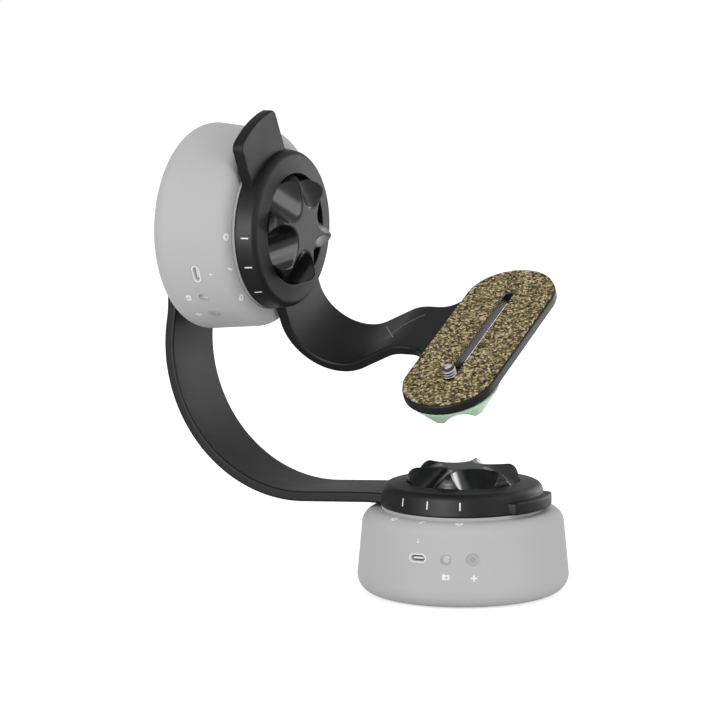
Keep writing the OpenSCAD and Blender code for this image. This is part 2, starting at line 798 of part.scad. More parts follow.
// Threaded insert that takes the stud
module knob_insert() {
  ring(stud_r + run_gap, insert_r, knob_z + knob_gap, knob_z + insert_l - fit_gap);
}

module pan_shell() { color(drum_grey) drum_shell(); }
module pan_base_plate() { color(drum_grey) drum_base_plate(); }
module pan_cover_screws() { color(steel) drum_screws(); }
module pan_tripod_bush() { color(steel) drum_bush(); }
module pan_foot() { color(rubber) drum_foot(); }
module pan_bearing() { color(brass) drum_bearing(); }
module pan_turntable() { color(drum_grey) drum_turntable(); }
module pan_grip_ring() { color(rubber) drum_grip_ring(); }
module pan_stud() { color(steel) drum_stud(); }
module pan_drive_gear() { color(brass) drum_drive_gear(); }
module pan_retaining_clip() { color(steel) drum_clip(); }
module pan_pinion() { color(steel) drum_pinion(); }
module pan_gear_motor() { color(steel) drum_gear_motor(); }
module pan_circuit_board() { color("#1f5a36") drum_circuit_board(); }
module pan_battery() { color("#35507a") drum_battery(); }
module pan_charging_socket() { color("#f2f2f2") drum_charging_socket(); }
module pan_jack() { color("#8f8f91") drum_jack(); }
module pan_button() { color("#a9a9a9") drum_button(); }

module tilt_shell() { color(drum_grey) on_upright() drum_shell(); }
module tilt_base_plate() { color(drum_grey) on_upright() drum_base_plate(); }
module tilt_cover_screws() { color(steel) on_upright() drum_screws(); }
module tilt_tripod_bush() { color(steel) on_upright() drum_bush(); }
module tilt_foot() { color(rubber) on_upright() drum_foot(); }
module tilt_bearing() { color(brass) on_upright() drum_bearing(); }
module tilt_turntable() { color(drum_grey) on_upright() drum_turntable(); }
module tilt_grip_ring() { color(rubber) on_upright() drum_grip_ring(); }
module tilt_stud() { color(steel) on_upright() drum_stud(); }
module tilt_drive_gear() { color(brass) on_upright() drum_drive_gear(); }
module tilt_retaining_clip() { color(steel) on_upright() drum_clip(); }
module tilt_pinion() { color(steel) on_upright() drum_pinion(); }
module tilt_gear_motor() { color(steel) on_upright() drum_gear_motor(); }
module tilt_circuit_board() { color("#1f5a36") on_upright() drum_circuit_board(); }
module tilt_battery() { color("#35507a") on_upright() drum_battery(); }
module tilt_charging_socket() { color("#f2f2f2") on_upright() drum_charging_socket(); }
module tilt_jack() { color("#8f8f91") on_upright() drum_jack(); }
module tilt_button() { color("#a9a9a9") on_upright() drum_button(); }

// C-shaped arm: disc, strap, upright and the round end behind the tilt drum
module pan_arm() {
  color(arm_black) difference() {
    union() {
      turn_disc(pan_tab_r, pan_strap_w, pan_tab_round);
      strap_run([-level_r, strap_z], 0, level_r - recess_r, pan_strap_w);
      strap_bend([-level_r, strap_z - ease_r], ease_r, 90, 90 + dip_slope, pan_strap_w);
      strap_run(dip_end, dip_slope, dip_l, pan_strap_w);
      strap_bend([bend_x, bend_z], bend_r, 180 - swell_turn, 270 + dip_slope, pan_strap_w);
      strap_run(swell_c + ease_r * [cos(swell_turn), -sin(swell_turn)], 90 - swell_turn, 0, pan_strap_w);
      strap_bend(swell_c, ease_r, joint_turn - swell_turn, 0, pan_strap_w);
      strap_run([upright_x, swell_c[1]], 90, tilt_z - swell_c[1], pan_strap_w);
      translate([upright_x - strap_t / 2, 0, tilt_z]) rotate([0, 90, 0])
        cylinder(r = mount_end_r, h = strap_t + mount_seat);
    }
    translate([upright_x - strap_t, 0, tilt_z]) rotate([0, 90, 0])
      cylinder(r = socket_r + hole_gap, h = 2 * strap_t + mount_seat);
  }
}

module pan_knob() { color(knob_black) clamp_knob(pan_knob_dir); }
module pan_knob_insert() { color(brass) knob_insert(); }

// Bolt that holds the tilt drum on the round end, with a coin slot in its head
module tilt_mount_screw() {
  head_r = 9;
  head_t = 4.5;
  coin_w = 2;
  coin_depth = 1.8;
  head_x = upright_x - strap_t / 2 - fit_gap;
  color(steel) translate([head_x, 0, tilt_z]) rotate([0, 90, 0]) difference() {
    union() {
      translate([0, 0, -head_t]) cylinder(r = head_r, h = head_t);
      translate([0, 0, -seam]) cylinder(r = socket_r - fit_gap, h = strap_t + mount_seat + socket_l - 1);
    }
    translate([-coin_w / 2, -head_r - past, -head_t - past])
      cube([coin_w, 2 * (head_r + past), coin_depth + past]);
  }
}

// S-shaped arm: disc, strap and the slotted camera plate in one casting
module camera_arm() {
  color(arm_black) on_tilt_axis() difference() {
    union() {
      translate([-arm_reach, 0, 0]) rotate([0, 90, 0]) rotate(180)
        turn_disc(tilt_tab_r, camera_strap_w, tilt_tab_round);
      strap_run([drop_x, low_c[1]], 90, -low_c[1] - recess_r, camera_strap_w);
      strap_bend(low_c, camera_bend_r, 180, 270 + camera_slope, camera_strap_w);
      strap_run(rise_start, camera_slope, rise_l, camera_strap_w);
      strap_bend(ease_c, camera_ease_r, 90, 90 + camera_slope, camera_strap_w);
      strap_run([ease_c[0], plate_mid], 0, plate_edge - ease_c[0] + edge_round, camera_strap_w);
      translate([0, 0, plate_z + seam]) linear_extrude(strap_t - 2 * seam) flare_outline();
      translate([0, -plate_shift, plate_mid]) plate_blank();
    }
    translate([0, -plate_shift, plate_z - past]) linear_extrude(strap_t + 2 * past)
      slot_outline(slot_w, slot_l);
  }
}

// A slot or plate outline with round ends, along Y
module slot_outline(w, l) {
  half = (l - w) / 2;
  square([w, 2 * half], center = true);
  for (j = [-1, 1]) translate([0, j * half]) circle(r = w / 2);
}

// Camera plate with rounded edges, before its slot is cut
module plate_blank() {
  half = (plate_l - plate_w) / 2;
  rotate([90, 0, 0]) linear_extrude(2 * half, center = true) rotate(90) strap_section(plate_w, strap_t);
  for (j = [0, 180]) rotate([0, 0, j]) translate([0, half, 0]) rotate_extrude(angle = 180) intersection() {
    rotate(90) strap_section(plate_w, strap_t);
    translate([0, -strap_t]) square([plate_w, 2 * strap_t]);
  }
}

// Plan of the flare that widens the strap into the plate's long side
module flare_outline() {
  half = camera_strap_w / 2 - edge_round;
  difference() {
    translate([plate_edge - flare_r, -half - flare_r]) square([flare_r + 2, 2 * (half + flare_r)]);
    for (j = [-1, 1]) translate([plate_edge - flare_r, j * (half + flare_r)]) circle(r = flare_r);
  }
}

module tilt_knob() { color(knob_black) on_tilt_disc() clamp_knob(tilt_knob_dir); }
module tilt_knob_insert() { color(brass) on_tilt_disc() knob_insert(); }

// Cork pad on the plate, with the same slot
module cork_pad() {
  color("#8a7350") on_tilt_axis() translate([0, -plate_shift, plate_face]) linear_extrude(cork_t)
    difference() {
      slot_outline(plate_w - 2 * cork_inset, plate_l - 2 * cork_inset);
      slot_outline(slot_w + cork_inset, slot_l + cork_inset);
    }
}

// Camera screw: full thread above the cork and a thinner shank through slot and knob
module camera_screw() {
  chamfer = 0.5;
  foot = knob_under - camera_knob_h + camera_floor + fit_gap;
  thread_z = cork_top + camera_relief;
  top = cork_top + camera_thread_l;
  color(steel) on_tilt_axis() translate([0, screw_y, 0]) {
    translate([0, 0, foot]) cylinder(r = camera_shank_r, h = thread_z - foot + seam);
    translate([0, 0, thread_z]) cylinder(r = camera_thread_r, h = top - chamfer - thread_z);
    translate([0, 0, top - chamfer])
      cylinder(r1 = camera_thread_r, r2 = camera_thread_r - chamfer, h = chamfer);
  }
}

module camera_washer() {
  color(steel) on_tilt_axis() translate([0, screw_y, 0])
    ring(camera_shank_r + run_gap, washer_r, plate_z - washer_t, plate_z - fit_gap);
}

// Camera knob: a scooped star like the clamping knobs, hung under the plate
module camera_knob() {
  color("#c8f0cd") on_tilt_axis() translate([0, screw_y, 0]) rotate([180, 0, 0]) difference() {
    star_cap(
      camera_knob_r, camera_tip_r, -knob_under, camera_knob_h - knob_under,
      camera_flat_r, camera_scoop_r, camera_scoop_slope, camera_soft, 90
    );
    translate([0, 0, -knob_under - past])
      cylinder(r = camera_shank_r + fit_gap, h = camera_knob_h - camera_floor + past);
  }
}

pan_shell();
pan_base_plate();
pan_cover_screws();
pan_tripod_bush();
pan_foot();
pan_bearing();
pan_turntable();
pan_grip_ring();
pan_stud();
pan_drive_gear();
pan_retaining_clip();
pan_pinion();
pan_gear_motor();
pan_circuit_board();
pan_battery();
pan_charging_socket();
pan_jack();
pan_button();
pan_arm();
pan_knob();
pan_knob_insert();
tilt_mount_screw();
tilt_shell();
tilt_base_plate();
tilt_cover_screws();
tilt_tripod_bush();
tilt_foot();
tilt_bearing();
tilt_turntable();
tilt_grip_ring();
tilt_stud();
tilt_drive_gear();
tilt_retaining_clip();
tilt_pinion();
tilt_gear_motor();
tilt_circuit_board();
tilt_battery();
tilt_charging_socket();
tilt_jack();
tilt_button();
camera_arm();
tilt_knob();
tilt_knob_insert();
cork_pad();
camera_screw();
camera_washer();
camera_knob();
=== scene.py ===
"""Looks of the motorized pan and tilt head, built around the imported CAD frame, in metres."""
import math
from collections import Counter

import bmesh
import bpy
from mathutils import Matrix, Vector


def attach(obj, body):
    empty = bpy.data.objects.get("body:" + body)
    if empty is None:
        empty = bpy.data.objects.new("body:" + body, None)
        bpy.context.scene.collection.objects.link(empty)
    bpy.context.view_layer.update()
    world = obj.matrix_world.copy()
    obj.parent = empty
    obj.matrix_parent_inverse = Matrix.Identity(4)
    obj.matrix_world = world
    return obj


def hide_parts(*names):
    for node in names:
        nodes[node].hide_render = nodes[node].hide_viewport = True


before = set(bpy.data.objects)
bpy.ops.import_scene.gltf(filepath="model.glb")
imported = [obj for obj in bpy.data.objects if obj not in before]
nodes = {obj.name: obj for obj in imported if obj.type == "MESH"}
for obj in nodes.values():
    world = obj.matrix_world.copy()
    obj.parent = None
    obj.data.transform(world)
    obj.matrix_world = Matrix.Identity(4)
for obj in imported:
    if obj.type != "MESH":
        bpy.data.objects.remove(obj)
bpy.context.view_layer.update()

MM = 0.001
DRUMS = ("pan_", "tilt_")


# Materials

def new_material(name, color, roughness, metallic=0.0, specular=0.5):
    """A material with a Principled shader."""
    material = bpy.data.materials.new(name)
    material.use_nodes = True
    shader = material.node_tree.nodes["Principled BSDF"]
    shader.inputs["Base Color"].default_value = (*color, 1.0)
    shader.inputs["Roughness"].default_value = roughness
    shader.inputs["Metallic"].default_value = metallic
    shader.inputs["Specular IOR Level"].default_value = specular
    return material


def shader_of(material):
    return material.node_tree.nodes["Principled BSDF"]


def add_node(material, kind, **values):
    """Adds a shader node and sets its inputs by name."""
    node = material.node_tree.nodes.new(kind)
    for key, value in values.items():
        node.inputs[key.replace("_", " ")].default_value = value
    return node


def link(material, out, into):
    material.node_tree.links.new(out, into)


def object_coords(material, scale=(1, 1, 1)):
    """Coordinates fixed to the piece, in metres, stretched as asked."""
    coords = add_node(material, "ShaderNodeTexCoord")
    mapping = add_node(material, "ShaderNodeMapping")
    mapping.inputs["Scale"].default_value = scale
    link(material, coords.outputs["Object"], mapping.inputs["Vector"])
    return mapping.outputs["Vector"]


def noise(material, vector, size, detail=3.0):
    """Noise with features of about that size, in metres."""
    node = add_node(material, "ShaderNodeTexNoise", Scale=0.5 / size, Detail=detail)
    link(material, vector, node.inputs["Vector"])
    return node.outputs["Fac"]


def ramp(material, fac, stops):
    """Colour ramp from (position, colour) pairs."""
    node = add_node(material, "ShaderNodeValToRGB")
    elements = node.color_ramp.elements
    while len(elements) < len(stops):
        elements.new(1.0)
    for element, (position, color) in zip(elements, stops):
        element.position = position
        element.color = (*color, 1.0)
    link(material, fac, node.inputs["Fac"])
    return node.outputs["Color"]


def spread(material, fac, low, high):
    """Maps noise onto a range of values."""
    node = add_node(material, "ShaderNodeMapRange", From_Min=0.3, From_Max=0.7, To_Min=low, To_Max=high)
    link(material, fac, node.inputs["Value"])
    return node.outputs["Result"]


def bump(material, height, depth, strength=1.0):
    """Raises the surface by a height map, with depth in metres."""
    node = add_node(material, "ShaderNodeBump", Strength=strength, Distance=depth)
    link(material, height, node.inputs["Height"])
    link(material, node.outputs["Normal"], shader_of(material).inputs["Normal"])


def grained(name, color, roughness, metallic=0.0, specular=0.5, grain=0.4 * MM, depth=0.02 * MM, tint=0.08):
    """A finish with fine grain, uneven roughness and a slight change of tone."""
    material = new_material(name, color, roughness, metallic, specular)
    vector = object_coords(material)
    fine = noise(material, vector, grain)
    broad = noise(material, vector, 14 * MM, 2.0)
    darker = tuple(c * (1 - tint) for c in color)
    lighter = tuple(min(1.0, c * (1 + tint)) for c in color)
    shader = shader_of(material)
    link(material, ramp(material, broad, [(0.3, darker), (0.7, lighter)]), shader.inputs["Base Color"])
    link(material, spread(material, broad, roughness - 0.04, roughness + 0.04), shader.inputs["Roughness"])
    bump(material, fine, depth)
    return material


def cork_material():
    """Granules of cork bonded with dark rubber."""
    material = new_material("cork", (0.25, 0.18, 0.09), 0.85, specular=0.2)
    vector = object_coords(material)
    cells = add_node(material, "ShaderNodeTexVoronoi", Scale=1 / (0.85 * MM), Randomness=1.0)
    link(material, vector, cells.inputs["Vector"])
    tone = add_node(material, "ShaderNodeSeparateColor")
    link(material, cells.outputs["Color"], tone.inputs["Color"])
    colors = [(0.0, (0.018, 0.015, 0.009)), (0.2, (0.05, 0.04, 0.02)), (0.34, (0.11, 0.084, 0.038)),
              (0.58, (0.215, 0.165, 0.074)), (0.8, (0.42, 0.33, 0.17)), (1.0, (0.78, 0.67, 0.43))]
    link(material, ramp(material, tone.outputs["Red"], colors), shader_of(material).inputs["Base Color"])
    bump(material, cells.outputs["Distance"], -0.25 * MM, 0.6)
    return material


def mint_material():
    """Pale green plastic that lets some light through."""
    material = grained("mint", (0.58, 0.86, 0.6), 0.28, depth=0.004 * MM, tint=0.03)
    shader = shader_of(material)
    shader.inputs["Subsurface Weight"].default_value = 0.35
    shader.inputs["Subsurface Radius"].default_value = (0.6, 1.0, 0.6)
    shader.inputs["Subsurface Scale"].default_value = 4 * MM
    return material


drum_grey = grained("drum_grey", (0.55, 0.55, 0.55), 0.5,
                    specular=0.05, grain=0.25 * MM, depth=0.008 * MM, tint=0.02)
powder_black = grained("powder_black", (0.0055, 0.0055, 0.006), 0.55,
                       specular=0.1, grain=0.35 * MM, depth=0.03 * MM)
knob_gloss = grained("knob_gloss", (0.006, 0.006, 0.0065), 0.22, specular=0.3, depth=0.004 * MM)
knob_satin = grained("knob_satin", (0.01, 0.01, 0.0105), 0.5, specular=0.08, depth=0.012 * MM)
steel = grained("steel", (0.62, 0.63, 0.65), 0.26, metallic=1.0, depth=0.006 * MM)
brass = grained("brass", (0.6, 0.47, 0.2), 0.3, metallic=1.0, depth=0.006 * MM)
rubber = grained("rubber", (0.02, 0.02, 0.02), 0.8, specular=0.2)
board_green = grained("board_green", (0.02, 0.11, 0.04), 0.4)
battery_blue = grained("battery_blue", (0.04, 0.08, 0.19), 0.35)
socket_white = grained("socket_white", (0.86, 0.86, 0.86), 0.35)
jack_grey = grained("jack_grey", (0.5, 0.5, 0.5), 0.5)
button_grey = grained("button_grey", (0.44, 0.44, 0.44), 0.45)
ink = dict(grain=0.15 * MM, depth=0.004 * MM)
# White for real print, and also for the painted highlight crescent inside each jack.
print_and_glint_white = grained("print_and_glint_white", (0.92, 0.92, 0.92), 0.5, tint=0.02, **ink)
print_grey = grained("print_grey", (0.36, 0.36, 0.36), 0.5, **ink)
socket_grey = grained("socket_grey", (0.6, 0.6, 0.6), 0.5, **ink)
etched = grained("etched", (0.17, 0.17, 0.17), 0.55, **ink)
thread_steel = grained("thread_steel", (0.5, 0.5, 0.51), 0.32, metallic=1.0, depth=0.004 * MM)
# Near-black, non-metal colour for the screw's thread roots: painted shade in the grooves.
painted_thread_shade = grained("painted_thread_shade", (0.05, 0.05, 0.052), 0.5, specular=0.2, depth=0.004 * MM)
cork = cork_material()
mint = mint_material()

drum_finish = {
    "shell": drum_grey, "base_plate": drum_grey, "cover_screws": steel, "tripod_bush": steel, "foot": rubber,
    "bearing": brass, "turntable": drum_grey, "grip_ring": rubber, "stud": steel, "drive_gear": brass,
    "retaining_clip": steel, "pinion": steel, "gear_motor": steel, "circuit_board": board_green,
    "battery": battery_blue, "charging_socket": socket_white, "jack": jack_grey, "button": button_grey,
    "knob": knob_gloss, "knob_insert": brass,
}
finish = {drum + part: material for drum in DRUMS for part, material in drum_finish.items()}
finish.update({
    "pan_arm": powder_black, "camera_arm": powder_black, "tilt_mount_screw": steel, "cork_pad": cork,
    "camera_screw": steel, "camera_washer": steel, "camera_knob": mint,
})
for name, material in finish.items():
    nodes[name].data.materials.clear()
    nodes[name].data.materials.append(material)


# Frames and sizes shared with the CAD source, in millimetres

def turn(axis, degrees):
    return Matrix.Rotation(math.radians(degrees), 4, axis)


ARM_REACH, TILT_Z, STRAP_T, EDGE = 131.0, 154.7, 4.6, 1.0
PAN_STRAP_W, CAMERA_STRAP_W, STRAP_ROOT = 35.0, 33.0, 26
DISC_Z, DISC_R, DISC_T, RECESS_R, RECESS_FLOOR, BOLT_HOLE_R = 38.46, 35.7, 10.24, 24.5, 5.5, 5.05
DISC_FOOT = 0.4
CROWN, CROWN_ROUND, TAB_T = (31.45, 6.14), 3.3, 5.2
KNOB_Z, KNOB_TOP = 44.06, 55.0
SHOULDER_C, SHOULDER_ROUND, BASE_C, BASE_ROUND = (37.7, 30.5), 6.2, (38.6, 7.9), 7.4
PLATE_Z, PLATE_W, PLATE_L, PLATE_Y, SLOT_W, SLOT_L, SCREW_Y = -52.7, 41.7, 107.3, -5.7, 5.3, 71.0, -37.2
CORK_TOP, CORK_INSET = -47.0, 0.5
LOW_BEND_R, RISE_BEND_R, RISE_SLOPE, DIP = 23.0, 20.0, 26.5, 11.5
DROP_X = -ARM_REACH + DISC_Z + STRAP_T / 2
LOW_BEND_C = (DROP_X + LOW_BEND_R, PLATE_Z + STRAP_T / 2 - DIP + LOW_BEND_R)
PORT_Z, JACK_DIR, BUTTON_DIR = 22.0, -72.5, -58.0

# Sizes of the scene alone, in millimetres
HOLD = 0.4  # width of the row that keeps a flat face flat beside a rounding
SINK = 0.01  # depth of a strap's end under the face that it runs into
INK_DEPTH, INK_RISE, INK_STEP = 0.05, 0.04, 0.6

ON_PAN_AXIS = Matrix.Identity(4)
ON_TILT_AXIS = Matrix.Translation((0, 0, TILT_Z)) @ turn("X", 26.75)
ON_TILT_DISC = ON_TILT_AXIS @ Matrix.Translation((-ARM_REACH, 0, 0)) @ turn("Y", 90)
ON_CAMERA_SCREW = ON_TILT_AXIS @ Matrix.Translation((0, SCREW_Y, 0))
ON_UPRIGHT = Matrix.Translation((-ARM_REACH, 0, TILT_Z)) @ turn("Y", 90) @ turn("Z", 21.5)
ALONG_X = turn("Y", 90)


# Mesh tools, in millimetres

def arc(center, r, start, end, steps):
    """Points on an arc between two angles in degrees."""
    angles = [math.radians(start + (end - start) * i / steps) for i in range(steps + 1)]
    return [(center[0] + r * math.cos(a), center[1] + r * math.sin(a)) for a in angles]


def touch(p, center, r, side):
    """Angle, in degrees, at which a line from p touches a circle."""
    v = (p[0] - center[0], p[1] - center[1])
    return math.degrees(math.atan2(v[1], v[0]) + side * math.acos(r / math.hypot(*v)))


def add_rows(bm, rows, place, around=False):
    """Joins rows of points, each a closed loop, by faces, and the last row to the first if asked."""
    rings = [[bm.verts.new(place @ Vector(p)) for p in row] for row in rows]
    pairs = list(zip(rings, rings[1:])) + ([(rings[-1], rings[0])] if around else [])
    for low, high in pairs:
        for i in range(len(low)):
            j = (i + 1) % len(low)
            bm.faces.new((low[i], low[j], high[j], high[i]))
    return rings


def face_between(bm, low, high, i):
    """Face number i of those that join two rows of vertices."""
    j = (i + 1) % len(low)
    return bm.faces.get((low[i], low[j], high[j], high[i]))


def fill(bm, loops):
    """Closes the area between loops of vertices."""
    edges = [bm.edges.get((loop[i - 1], loop[i])) for loop in loops for i in range(len(loop))]
    bmesh.ops.triangle_fill(bm, use_beauty=True, edges=edges)


def add_lathe(bm, profile, place, steps=160):
    """Turns a closed profile of (radius, height) points about Z."""
    angles = [2 * math.pi * i / steps for i in range(steps)]
    rows = [[(r * math.cos(a), r * math.sin(a), z) for a in angles] for r, z in profile]
    add_rows(bm, rows, place, around=True)


def add_sweep(bm, path, w, t, r, place):
    """A strap with rounded edges along a path of ((x, z), (tangent x, tangent z)) in the side view."""
    x, y = w / 2 - r, t / 2 - r
    loop = []
    for i, (sx, sy) in enumerate([(1, 1), (-1, 1), (-1, -1), (1, -1)]):
        corner = arc((sx * x, sy * y), r, 90 * i, 90 * i + 90, 6)
        (x0, y0), (x1, y1) = corner[0], corner[-1]
        before, after = (x0, y0 - sy * HOLD), (x1 - sx * HOLD, y1)
        if i % 2:
            before, after = (x0 - sx * HOLD, y0), (x1, y1 - sy * HOLD)
        loop += [before] + corner + [after]
    rows = [[(px - tz * n, y, pz + tx * n) for y, n in loop] for (px, pz), (tx, tz) in path]
    rings = add_rows(bm, rows, place)
    bm.faces.new(rings[0])
    bm.faces.new(rings[-1])


def inset(loop, distance):
    """Moves a closed outline into the material, which lies on its left."""
    out = []
    for i, p in enumerate(loop):
        a, b = loop[i - 1], loop[(i + 1) % len(loop)]
        t = Vector((b[0] - a[0], b[1] - a[1])).normalized()
        out.append((p[0] - t.y * distance, p[1] + t.x * distance))
    return out


def add_slab(bm, outlines, z0, z1, place):
    """A plate from pairs of outline and edge rounding: the first runs anticlockwise, holes run clockwise."""
    turns = [math.radians(15 * i) for i in range(7)]
    low, high = [], []
    for loop, r in outlines:
        steps = [(r + HOLD, z0)] + [(r - r * math.sin(a), z0 + r - r * math.cos(a)) for a in turns]
        steps += [(r - r * math.cos(a), z1 - r + r * math.sin(a)) for a in turns] + [(r + HOLD, z1)]
        rows = [[(*p, z) for p in inset(loop, d)] for d, z in steps]
        rings = add_rows(bm, rows, place)
        low.append(rings[0])
        high.append(rings[-1])
    fill(bm, low)
    fill(bm, high)


def stadium(w, l, y, steps=48):
    """Outline of a plate with round ends, along Y, anticlockwise."""
    half = (l - w) / 2
    return arc((0, y + half), w / 2, 0, 180, steps) + arc((0, y - half), w / 2, 180, 360, steps)


def make_piece(bm, name, materials, body, replaces=(), smooth=True):
    """Turns the mesh into a piece that rides a body and stands for CAD nodes."""
    bmesh.ops.remove_doubles(bm, verts=bm.verts, dist=1e-4)
    bmesh.ops.recalc_face_normals(bm, faces=bm.faces)
    bmesh.ops.scale(bm, vec=(MM, MM, MM), verts=bm.verts)
    mesh = bpy.data.meshes.new(name)
    bm.to_mesh(mesh)
    bm.free()
    for material in materials:
        mesh.materials.append(material)
    mesh.polygons.foreach_set("use_smooth", [smooth] * len(mesh.polygons))
    piece = bpy.data.objects.new(name, mesh)
    bpy.context.scene.collection.objects.link(piece)
    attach(piece, body)
    if replaces:
        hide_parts(*replaces)


# Arms

def add_disc(bm, place):
    """Round end disc of an arm, with its knob recess."""
    lip, lip_fall, corner = 0.5, 0.16, 1
    top = touch((RECESS_R, DISC_T), CROWN, CROWN_ROUND, -1)
    side = touch((DISC_R, DISC_FOOT), CROWN, CROWN_ROUND, 1)
    profile = [(BOLT_HOLE_R, 0), (BOLT_HOLE_R, RECESS_FLOOR)]
    profile += [(RECESS_R - corner, RECESS_FLOOR), (RECESS_R, RECESS_FLOOR + corner)]
    profile += [(RECESS_R, DISC_T - lip - HOLD)] + arc((RECESS_R + lip, DISC_T - lip), lip, 180, 90, 5)
    profile += [(RECESS_R + lip + HOLD, DISC_T - lip_fall)] + arc(CROWN, CROWN_ROUND, top, side, 16)
    profile += [(DISC_R - 0.1, 1)] + arc((DISC_R - DISC_FOOT, DISC_FOOT), DISC_FOOT, 0, -90, 4) + [(DISC_R - 1, 0)]
    add_lathe(bm, [(r, z + DISC_Z) for r, z in profile], place)


def add_tab(bm, reach, w, corner, place):
    """Pointer tab with soft edges, along +X of the disc."""
    root, rounding, lift = 20, 0.8, 0.02
    side = w / 2 - corner
    x = math.sqrt((reach - corner) ** 2 - side ** 2)
    lean = math.degrees(math.atan2(side, x))
    edge = [(root + (x - root) * i / 8, -w / 2) for i in range(8)]
    outline = edge + arc((x, -side), corner, -90, -lean, 8) + arc((0, 0), reach, -lean, lean, 40)[1:-1]
    outline += arc((x, side), corner, lean, 90, 8) + [(px, -py) for px, py in reversed(edge)]
    add_slab(bm, [(outline, rounding)], DISC_Z + lift, DISC_Z + TAB_T, place)


def bend(center, r, start, end, steps):
    """Path along an arc, with its tangents."""
    way = 1 if end > start else -1
    points = arc(center, r, start, end, steps)
    angles = [math.radians(start + (end - start) * i / steps) for i in range(steps + 1)]
    return [(p, (-way * math.sin(a), way * math.cos(a))) for p, a in zip(points, angles)]


def make_pan_arm():
    """C-shaped arm: disc, strap, upright and the round end behind the tilt drum."""
    level, bend_r, ease_r, dip, swell, seat = 36.25, 63.5, 50.0, 2.3, 1.8, 3.0
    end_r, end_hole_r = 20.0, 4.27
    strap_z = DISC_Z + STRAP_T / 2
    upright_x = -ARM_REACH - seat - STRAP_T / 2
    c = (upright_x - swell + bend_r, strap_z - dip + bend_r)
    reach = bend_r + ease_r
    swell_turn = math.degrees(math.acos(1 - swell / reach))
    a = math.radians(swell_turn)
    swell_c = (c[0] - reach * math.cos(a), c[1] + reach * math.sin(a))
    ease_c = (-level, strap_z - ease_r)
    v = (ease_c[0] - c[0], ease_c[1] - c[1])
    slope = math.degrees(math.atan2(v[0], -v[1]) - math.acos(reach / math.hypot(*v)))
    path = [((-x, strap_z), (-1, 0)) for x in (STRAP_ROOT, STRAP_ROOT + 0.1, level - 1)]
    path += bend(ease_c, ease_r, 90, 90 + slope, 4) + bend(c, bend_r, 270 + slope, 180 - swell_turn, 60)
    path += bend(swell_c, ease_r, -swell_turn, 0, 8)[1:] + [((upright_x, TILT_Z - end_r - 0.5), (0, 1))]
    path += [((upright_x + SINK, TILT_Z - d), (0, 1)) for d in (end_r - 1.5, 6.1, 6.0)]
    bm = bmesh.new()
    add_disc(bm, ON_PAN_AXIS)
    add_tab(bm, 38.5, PAN_STRAP_W, 2.5, ON_PAN_AXIS)
    add_sweep(bm, path, PAN_STRAP_W, STRAP_T, EDGE, ON_PAN_AXIS)
    end = Matrix.Translation((upright_x - STRAP_T / 2, 0, TILT_Z)) @ ALONG_X
    ring = arc((0, 0), end_r, 0, 360, 96)[:-1]
    hole = arc((0, 0), end_hole_r, 360, 0, 48)[:-1]
    add_slab(bm, [(ring, 0.6), (hole, 0.2)], 0, STRAP_T + seat, end)
    make_piece(bm, "pan_arm_casting", [powder_black], "turret", ["pan_arm"])


def strap_rise(low_c):
    """Foot and length of the straight rise after the camera strap's low bend, and the centre of the bend above it."""
    s = math.radians(RISE_SLOPE)
    rise = (DIP - (LOW_BEND_R + RISE_BEND_R) * (1 - math.cos(s))) / math.sin(s)
    foot = (low_c[0] + LOW_BEND_R * math.sin(s), low_c[1] - LOW_BEND_R * math.cos(s))
    end = (foot[0] + rise * math.cos(s), foot[1] + rise * math.sin(s))
    return foot, rise, (end[0] + RISE_BEND_R * math.sin(s), end[1] - RISE_BEND_R * math.cos(s))


def make_camera_arm():
    """S-shaped arm: disc, strap, flare and the slotted camera plate."""
    w, flare, edge, slot_w = CAMERA_STRAP_W, 9.0, -PLATE_W / 2, SLOT_W - 0.35
    drop_x, mid = DROP_X, PLATE_Z + STRAP_T / 2
    _, _, rise_c = strap_rise(LOW_BEND_C)
    path = [((drop_x, z), (0, -1)) for z in (-STRAP_ROOT, -STRAP_ROOT - 0.1, LOW_BEND_C[1] + 1)]
    path += bend(LOW_BEND_C, LOW_BEND_R, 180, 270 + RISE_SLOPE, 40)
    path += bend(rise_c, RISE_BEND_R, 90 + RISE_SLOPE, 90, 12)
    meet = edge - flare
    path += [((meet - 0.2, mid), (1, 0))]
    path += [((meet + d, mid - SINK), (1, 0)) for d in (0.8, 1.9, 2.0)]
    bm = bmesh.new()
    add_disc(bm, ON_TILT_DISC @ turn("Z", 180))
    add_tab(bm, 54.0, w, 4.0, ON_TILT_DISC @ turn("Z", 180))
    add_sweep(bm, path, w, STRAP_T, EDGE, ON_TILT_AXIS)
    outline = stadium(PLATE_W, PLATE_L, PLATE_Y)
    first = len(outline) // 2
    stub = arc((meet, w / 2 + flare), flare, 0, -90, 12) + [(meet - 1, w / 2 - EDGE)]
    outline[first:first] = stub + [(x, -y) for x, y in reversed(stub)]
    slot = stadium(slot_w, SLOT_L, PLATE_Y, 24)[::-1]
    add_slab(bm, [(outline, EDGE), (slot, 0.15)], PLATE_Z, PLATE_Z + STRAP_T, ON_TILT_AXIS)
    make_piece(bm, "camera_arm_casting", [powder_black], "cradle", ["camera_arm"])


# Knobs

def soft_min(a, b, k):
    """The lower of two heights, with a rounded edge where they meet."""
    h = min(1.0, max(0.0, 0.5 + 0.5 * (b - a) / k))
    return b + (a - b) * h - k * h * (1 - h)


